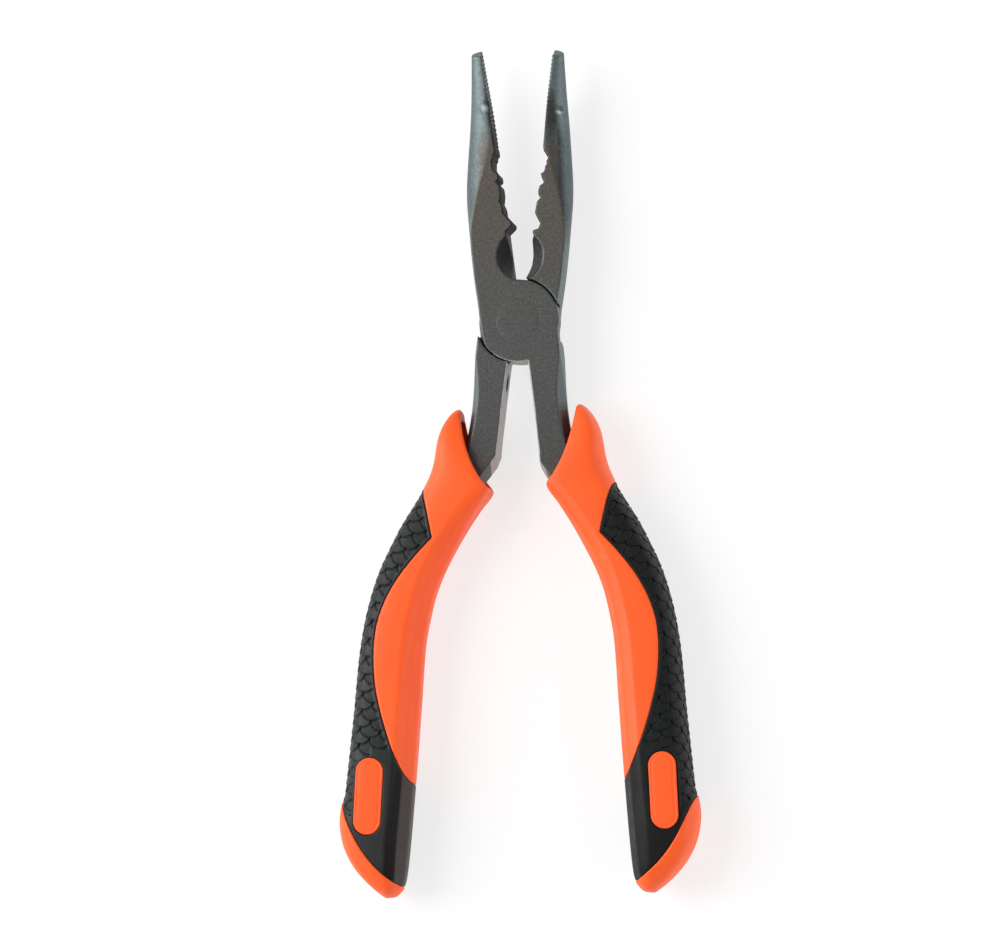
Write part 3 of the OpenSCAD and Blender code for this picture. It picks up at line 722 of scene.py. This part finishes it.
def make_handle(side, prefix, orange, badge_orange, black):
    """The pieces of one handle, made once with the handle on +X and then turned or mirrored."""
    pieces = {}
    lines, x, y, z = as_grid(SHELL_GRID)
    plan = GripPlan(x, y)
    grip = grip_field(plan, z)
    sleeve = sleeve_area(x, y).astype(np.float32)
    butt = butt_area(x, y).astype(np.float32)
    shank, tang = shank_field(x, y + HANDLE_SHIFT[side], z, side)
    shank = np.minimum(np.maximum(shank, np.abs(z - MID_Z) - MID_Z), tang) - SEAM
    core = grip + SLEEVE_T
    shell = smooth_max(grip, -np.maximum(sleeve - SEAM, -core), ROUND["shell"])
    shell = smooth_max(shell, -(butt - SEAM) + 0 * z, ROUND["shell"])
    shell = smooth_max(shell, -guard_hollow(plan, z), ROUND["guard"])
    shell = smooth_max(shell, -shank, ROUND["shank_hole"])
    pieces["grip_shell"] = (surface(lines, shell), orange, "orange_shell")
    cap = smooth_max(grip - CAP_PROUD, butt + 0 * z, ROUND["cap"])
    pieces["butt_cap"] = (surface(lines, cap), orange, "orange_shell")

    lines, x, y, z = as_grid(SLEEVE_GRID)
    plan = GripPlan(x, y)
    grip = grip_field(plan, z)
    sleeve = sleeve_area(x, y).astype(np.float32)
    badge = badge_area(x, y)
    rim = np.maximum(sleeve, -badge)
    top = grip + scale_relief(plan, x, y, z, rim)
    rubber = smooth_max(top, sleeve + 0 * z, ROUND["sleeve"])
    rubber = np.maximum(rubber, -(grip + SLEEVE_T - SEAM))
    plate_floor = GRIP_H - BADGE_T + BADGE_PROUD
    pocket = np.maximum(badge - SEAM + 0 * z, plate_floor - np.abs(z - MID_Z))
    rubber = smooth_max(rubber, -pocket, ROUND["badge_pocket"])
    pieces["scale_sleeve"] = (surface(lines, rubber), black, "black_rubber")

    for part, ((points, quads), material, slot) in pieces.items():
        # Where the sleeve's inner side gets its painted shade and painted reflection, weaker on the sleeve
        # painted in shade
        inner = np.clip((INNER_SIDE_X - points[:, 0]) / INNER_SIDE_BLEND, 0, 1)
        inner *= (points[:, 1] < INNER_SIDE_Y) * SLEEVE_LIT_SHARE[side]
        points[:, 1] += HANDLE_SHIFT[side]
        points, faces = opened(points, quads, side)
        node = f"{prefix}_{part}"
        piece = mesh_piece(f"{node}_skin", points, faces, material, side, [node])
        if part == "scale_sleeve":
            mark(piece, "inner", inner)
            # How far the sleeve is painted in shade
            mark(piece, "tone", np.full(len(points), SLEEVE_LIT_SHARE[side]))
    for face in ("front", "back"):
        make_badge(f"{prefix}_badge_{face}", side, face, badge_orange)


def badge_outline(inset, steps):
    """Points round the badge's outline, moved in by inset."""
    r = BADGE_R - inset
    points = []
    for centre, first in ((0, 0), (-BADGE_L, math.pi)):
        for i in range(steps + 1):
            a = first + math.pi * i / steps
            points.append((r * math.cos(a), centre + r * math.sin(a)))
    c, s = math.cos(BADGE_TURN), math.sin(BADGE_TURN)
    return [(BADGE[0] + u * c - v * s, BADGE[1] + u * s + v * c) for u, v in points]


def make_badge(node, side, face, material):
    """A plate with a rounded edge, a fine line inside it and a slightly crowned middle."""
    top = GRIP_H + BADGE_PROUD
    profile = [(0, top - BADGE_T + BADGE_LIFT)] + [(inset, top - drop) for inset, drop in BADGE_EDGE]
    rings = [badge_outline(inset, BADGE_STEPS) for inset, height in profile]
    sign = 1 if face == "front" else -1
    points = [(px, py + HANDLE_SHIFT[side], MID_Z + sign * height)
              for ring, (inset, height) in zip(rings, profile) for px, py in ring]
    n = len(rings[0])
    faces = [[k * n + i, k * n + (i + 1) % n, (k + 1) * n + (i + 1) % n, (k + 1) * n + i]
             for k in range(len(rings) - 1) for i in range(n)]
    faces.append(list(range(n - 1, -1, -1)))
    start = (len(rings) - 1) * n
    faces += [[start + i, start + i + 1, start + n - 2 - i, start + n - 1 - i] for i in range(n // 2 - 1)]
    if sign < 0:
        faces = [ring[::-1] for ring in faces]
    placed, faces = opened(points, faces, side)
    mesh_piece(f"{node}_plate", placed, faces, material, side, [node])


# ---- rivet and spring ----

def make_rivet(material):
    """Two flush heads with eased rims on one shank."""
    ease = 0.07
    r, h = RIVET_HEAD_R, RIVET_HEAD_T
    top = -HEAD_PROUD
    head = [(0, top), (r * 0.3, top), (r * 0.7, top), (r - 2 * ease, top), (r - ease, top + 0.01),
            (r - 0.02, top + 0.03), (r, ease), (r, h), (RIVET_R, h)]
    profile = head + [(rr, JOINT_T - zz) for rr, zz in reversed(head)]
    points, faces = lathe(profile, 96)
    mesh_piece("rivet_flush", np.array(points) * MM, faces, material, "front", ["pivot_rivet"])


def make_spring(material):
    """One wire: up the rear leg, round the pivot, and down the front leg."""
    def turned(x, y, a):
        return x * math.cos(a) - y * math.sin(a), x * math.sin(a) + y * math.cos(a)

    rise = COIL_PITCH * COIL_TURNS
    low = MID_Z - rise / 2
    steps = 90
    sweep = 2 * math.pi * COIL_TURNS - 2 * HALF_OPENING
    leg_steps = 12
    line = [(*turned(-COIL_R, -LEG_L * (1 - i / leg_steps), -HALF_OPENING), low) for i in range(leg_steps)]
    for i in range(steps + 1):
        a = math.pi - HALF_OPENING - sweep * i / steps
        line.append((COIL_R * math.cos(a), COIL_R * math.sin(a), low + rise * i / steps))
    line += [(*turned(COIL_R, -LEG_L * i / leg_steps, HALF_OPENING), low + rise)
             for i in range(1, leg_steps + 1)]
    line = np.array(line)
    ahead = np.gradient(line, axis=0)
    ahead /= np.linalg.norm(ahead, axis=1)[:, None]
    side = np.stack([ahead[:, 1], -ahead[:, 0], 0 * ahead[:, 0]], 1)
    side /= np.linalg.norm(side, axis=1)[:, None]
    up = np.cross(side, ahead)
    n = 14
    angles = [2 * math.pi * j / n for j in range(n)]
    points, faces = [], []
    for p, a, b in zip(line, side, up):
        points += [p + WIRE_D / 2 * (a * math.cos(t) + b * math.sin(t)) for t in angles]
    for i in range(len(line) - 1):
        faces += [(i * n + j, i * n + (j + 1) % n, (i + 1) * n + (j + 1) % n, (i + 1) * n + j)
                  for j in range(n)]
    faces.append(tuple(range(n - 1, -1, -1)))
    faces.append(tuple(range((len(line) - 1) * n, len(line) * n)))
    spring = mesh_piece("return_spring_wire", np.array(points) * MM, faces, material, None,
                        ["return_spring"])
    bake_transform(spring)


# ---- materials ----

class Material:
    """A node material with short calls for the nodes that these finishes use."""

    def __init__(self, name):
        self.data = bpy.data.materials.new(name)
        self.data.use_nodes = True
        self.nodes = self.data.node_tree.nodes
        self.links = self.data.node_tree.links
        self.shader = self.nodes["Principled BSDF"]
        self.place = self.nodes.new("ShaderNodeTexCoord").outputs["Object"]

    def put(self, socket, value):
        if isinstance(value, bpy.types.NodeSocket):
            self.links.new(value, socket)
        else:
            socket.default_value = value

    def noise(self, scale, detail=4, roughness=0.5):
        """Noise with about scale cells per metre."""
        made = self.nodes.new("ShaderNodeTexNoise")
        self.put(made.inputs["Vector"], self.place)
        made.inputs["Scale"].default_value = scale
        made.inputs["Detail"].default_value = detail
        made.inputs["Roughness"].default_value = roughness
        return made.outputs["Fac"]

    def spread(self, value, low, high, to_low=0.0, to_high=1.0):
        """A value between two limits, spread over another range."""
        made = self.nodes.new("ShaderNodeMapRange")
        self.put(made.inputs["Value"], value)
        for key, number in (("From Min", low), ("From Max", high), ("To Min", to_low), ("To Max", to_high)):
            made.inputs[key].default_value = number
        return made.outputs["Result"]

    def math(self, operation, a, b):
        made = self.nodes.new("ShaderNodeMath")
        made.operation = operation
        self.put(made.inputs[0], a)
        self.put(made.inputs[1], b)
        return made.outputs[0]

    def mix(self, share, a, b):
        made = self.nodes.new("ShaderNodeMix")
        made.data_type = "RGBA"
        self.put(made.inputs["Factor"], share)
        self.put(made.inputs[6], a)
        self.put(made.inputs[7], b)
        return made.outputs[2]

    def value(self, name):
        """A value that the mesh keeps for each point."""
        made = self.nodes.new("ShaderNodeAttribute")
        made.attribute_name = name
        return made.outputs["Fac"]

    def tilt(self, start, end):
        """How far a face turns from the front or back, from 0 to 1 between two values of its normal's Z."""
        made = self.nodes.new("ShaderNodeSeparateXYZ")
        self.put(made.inputs[0], self.nodes["Texture Coordinate"].outputs["Normal"])
        return self.spread(self.math("ABSOLUTE", made.outputs["Z"], 0), start, end)

    def part_of_place(self, axis):
        made = self.nodes.new("ShaderNodeSeparateXYZ")
        self.put(made.inputs[0], self.place)
        return made.outputs[axis]

    def finish(self, colour, roughness, height, distance, metallic=0.0, specular=0.5):
        self.put(self.shader.inputs["Base Color"], colour)
        self.put(self.shader.inputs["Roughness"], roughness)
        self.put(self.shader.inputs["Metallic"], metallic)
        self.put(self.shader.inputs["Specular IOR Level"], specular)
        bump = self.nodes.new("ShaderNodeBump")
        bump.inputs["Strength"].default_value = 1
        bump.inputs["Distance"].default_value = distance
        self.put(bump.inputs["Height"], height)
        self.links.new(bump.outputs["Normal"], self.shader.inputs["Normal"])
        return self.data


def grey(value, warmth=0.0):
    return (value * (1 + warmth), value, value * (1 - warmth), 1)


def coated_steel(name, side_share):
    """Fine-grained coat, with a painted warm reflection on the jaws' flat faces and a painted blue-grey
    reflection on the sides and on the nose.

    Painted shade darkens the sides next to the flat faces and makes the cut faces of the jaws nearly black,
    and painted highlights lighten the top of each boss and the inner sides of the shanks. A side_share of 0
    leaves only the finish of the flat faces.
    """
    m = Material(name)
    place_y = m.part_of_place("Y")
    # Painted blue-grey reflection on the sides, left out on the plain ring round the rivet
    tilted = m.math("MULTIPLY", m.tilt(0.95, 0.87), side_share)
    side = m.math("MULTIPLY", tilted, m.spread(m.value("plain"), 0, 1, 1, 0))
    # Painted warm reflection, growing towards the jaws' flat faces
    warm = m.spread(place_y, 0.0, 0.045)
    flat = m.mix(m.spread(place_y, -0.03, -0.012), SHANK_GREY, JOINT_GREY)
    flat = m.mix(warm, flat, JAW_REFLECTION_BROWN)
    base = m.mix(side, flat, SIDE_REFLECTION_BLUE)
    # Painted blue-grey reflection over the nose
    nose = m.math("MULTIPLY", m.spread(place_y, 0.046, 0.054), side_share)
    base = m.mix(nose, base, NOSE_REFLECTION_BLUE)
    # Painted shade on the sides and the nose next to the flat faces
    shade = m.math("MULTIPLY", m.value("shade"), m.math("MAXIMUM", side, nose))
    base = m.mix(shade, base, SHADE_GREY)
    # Painted highlight on the top of each boss
    base = m.mix(m.value("boss_highlight"), base, BOSS_HIGHLIGHT_GREY)
    # Painted highlight on the inner sides of the shanks
    base = m.mix(m.math("MULTIPLY", m.value("shank_highlight"), side), base, SHANK_HIGHLIGHT_STEEL)
    # Painted shade, nearly black and without shine, on the cut faces of the jaws
    cut = m.math("MULTIPLY", m.value("cut"), side)
    blotch = m.noise(1500, 3, 0.65)
    base = m.mix(m.spread(blotch, 0.52, 0.68, 0, 0.3), base, SPARKLE)
    base = m.mix(m.spread(blotch, 0.48, 0.32, 0, 0.5), base, PIT)
    grain = m.noise(3200, 3, 0.7)
    base = m.mix(m.spread(grain, 0.45, 0.3, 0, 0.45), base, GRAIN_GREY)
    base = m.mix(cut, base, m.mix(m.spread(blotch, 0.4, 0.6), CUT_SHADE_DARK, CUT_SHADE_PALE))
    roughness = m.spread(m.noise(900, 3), 0.3, 0.7, 0.4, 0.54)
    return m.finish(base, roughness, m.math("ADD", grain, blotch), 0.00005,
                    metallic=m.spread(cut, 0, 1, 0.6, 0), specular=m.spread(cut, 0, 1, 0.5, 0.02))


def spring_steel(name):
    m = Material(name)
    stretch = m.nodes.new("ShaderNodeMapping")
    stretch.inputs["Scale"].default_value = (1, 0.15, 1)
    m.put(stretch.inputs["Vector"], m.place)
    m.place = stretch.outputs["Vector"]
    drawn = m.noise(3000, 4, 0.6)
    colour = m.mix(m.spread(drawn, 0.35, 0.65), grey(0.5, 0.01), grey(0.66, -0.01))
    return m.finish(colour, m.spread(drawn, 0.3, 0.7, 0.24, 0.4), drawn, 0.00002, metallic=1.0)


def orange_plastic(name, colour, deep):
    """Satin moulded plastic with a faint grain and slightly deeper clouds."""
    m = Material(name)
    cloud = m.spread(m.noise(70, 3), 0.35, 0.65)
    base = m.mix(m.math("MULTIPLY", cloud, 0.35), colour, deep)
    scuff = m.spread(m.noise(420, 5, 0.7), 0.62, 0.74)
    base = m.mix(m.math("MULTIPLY", scuff, 0.2), base, SCUFF_ORANGE)
    grain = m.noise(5200, 3, 0.6)
    roughness = m.spread(m.noise(260, 4), 0.3, 0.7, 0.4, 0.52)
    return m.finish(base, roughness, grain, 0.00003, specular=0.3)


def black_rubber(name):
    """Soft-touch rubber with a fine grain and faint dust. Where the mesh says inner, painted shade darkens
    the first facet from the front, with less shine, and a painted reflection pales the steeper facets.

    A lower tone paints it in shade, blacker and less shiny.
    """
    m = Material(name)
    cloud = m.spread(m.noise(110, 4), 0.35, 0.65)
    base = m.mix(cloud, RUBBER_DARK, RUBBER_PALE)
    dust = m.spread(m.noise(900, 5, 0.7), 0.58, 0.74)
    base = m.mix(m.math("MULTIPLY", dust, 0.3), base, RUBBER_DUST)
    # Painted shade, with less shine, on the first facet of the inner side
    inner_shade = m.math("MULTIPLY", m.value("inner"), m.math("MULTIPLY", m.tilt(0.985, 0.94), m.tilt(0.66, 0.76)))
    base = m.mix(inner_shade, base, RUBBER_FACET_SHADE)
    # Painted reflection on the steeper facets of the inner side
    pale = m.math("MULTIPLY", m.value("inner"), m.tilt(0.76, 0.6))
    base = m.mix(pale, base, RUBBER_REFLECTION)
    # Painted shade: a lower tone makes the sleeve blacker
    base = m.mix(m.spread(m.value("tone"), 1, 0, 0, 0.6), base, RUBBER_SHADE_BLACK)
    grain = m.noise(6000, 3, 0.6)
    roughness = m.spread(m.noise(400, 3), 0.3, 0.7, 0.42, 0.54)
    shine = m.math("MULTIPLY", m.spread(inner_shade, 0, 1, 0.28, 0.1), m.spread(m.value("tone"), 0, 1, 0.4, 1))
    return m.finish(base, roughness, grain, 0.00003, specular=shine)


# ---- stage ----

def make_floor(z):
    m = Material("pale_floor")
    tone = m.spread(m.noise(6, 3), 0.3, 0.7)
    colour = m.mix(tone, *FLOOR_GREYS)
    material = m.finish(colour, 0.7, m.noise(900, 3), 0.00002, specular=0.1)
    m.put(m.shader.inputs["Emission Color"], (1, 1, 1, 1))
    m.put(m.shader.inputs["Emission Strength"], FLOOR_GLOW)
    mesh = bpy.data.meshes.new("floor")
    corners = [(-1, -1), (1, -1), (1, 1), (-1, 1)]
    mesh.from_pydata([(FLOOR_HALF * a, FLOOR_HALF * b, z) for a, b in corners], [], [(0, 1, 2, 3)])
    mesh.materials.append(material)
    floor = bpy.data.objects.new("floor", mesh)
    bpy.context.scene.collection.objects.link(floor)


def aim(thing, place, target):
    direction = [t - p for t, p in zip(target, place)]
    thing.location = place
    thing.rotation_euler = mathutils.Vector(direction).to_track_quat("-Z", "Y").to_euler()


def make_light(name, place, target, size, power):
    data = bpy.data.lights.new(name, "AREA")
    data.shape = "RECTANGLE"
    data.size, data.size_y = size
    data.energy = power
    light = bpy.data.objects.new(name, data)
    bpy.context.scene.collection.objects.link(light)
    aim(light, place, target)


def make_camera(centre, yaw, pitch, distance, width):
    """A camera over the front, turned by yaw towards +X and by pitch towards -Y."""
    data = bpy.data.cameras.new("camera")
    data.sensor_width = 36
    data.lens = data.sensor_width * distance / width
    data.clip_start, data.clip_end = 0.05, 20
    camera = bpy.data.objects.new("camera", data)
    bpy.context.scene.collection.objects.link(camera)
    turn, tilt = math.radians(yaw), math.radians(pitch)
    back = (math.sin(turn), -math.sin(tilt) * math.cos(turn), math.cos(tilt) * math.cos(turn))
    camera.location = [c + distance * b for c, b in zip(centre, back)]
    ahead = -mathutils.Vector(back)
    right = ahead.cross(mathutils.Vector((0, 1, 0))).normalized()
    up = right.cross(ahead)
    camera.matrix_world = mathutils.Matrix((
        (right.x, up.x, -ahead.x, camera.location.x), (right.y, up.y, -ahead.y, camera.location.y),
        (right.z, up.z, -ahead.z, camera.location.z), (0, 0, 0, 1)))
    bpy.context.scene.camera = camera


def make_world(zenith, horizon):
    """A dome that is darker overhead than round the horizon."""
    world = bpy.data.worlds.new("studio")
    world.use_nodes = True
    nodes, links = world.node_tree.nodes, world.node_tree.links
    place = nodes.new("ShaderNodeTexCoord")
    parts = nodes.new("ShaderNodeSeparateXYZ")
    links.new(place.outputs["Generated"], parts.inputs[0])
    ramp = nodes.new("ShaderNodeMapRange")
    ramp.interpolation_type = "SMOOTHSTEP"
    ramp.inputs["From Min"].default_value = 0.8
    ramp.inputs["From Max"].default_value = 0.1
    links.new(parts.outputs["Z"], ramp.inputs["Value"])
    mix = nodes.new("ShaderNodeMix")
    mix.data_type = "RGBA"
    links.new(ramp.outputs["Result"], mix.inputs["Factor"])
    mix.inputs[6].default_value, mix.inputs[7].default_value = zenith, horizon
    links.new(mix.outputs[2], nodes["Background"].inputs["Color"])
    nodes["Background"].inputs["Strength"].default_value = 1
    bpy.context.scene.world = world


steel = coated_steel("coated_steel", 1)
orange = orange_plastic("orange_shell", SHELL_ORANGE, DEEP_ORANGE)
badge_orange = orange_plastic("orange_badge", BADGE_ORANGE, DEEP_ORANGE)
black = black_rubber("black_rubber")
wire = spring_steel("spring_wire")
rivet = coated_steel("rivet_steel", 0)

make_lever("front_lever_forging", "front", "front_lever", steel)
make_lever("rear_lever_forging", "rear", "rear_lever", steel)
make_rivet(rivet)
make_spring(wire)
make_handle("front", "right", orange, badge_orange, black)
make_handle("rear", "left", orange, badge_orange, black)

make_floor(cad_box[0].z - FLOOR_GAP)
make_world(ZENITH, HORIZON)
make_light("key", (-0.95, 0.1, 0.8), LIT_POINT, (0.9, 1.2), 19)
make_light("fill", (1.1, -0.2, 0.3), LIT_POINT, (0.5, 1.4), 6)
make_camera(SEEN_POINT, CAMERA_YAW, CAMERA_PITCH, CAMERA_DISTANCE, VIEW_WIDTH)
bpy.context.scene.view_settings.view_transform = "Standard"
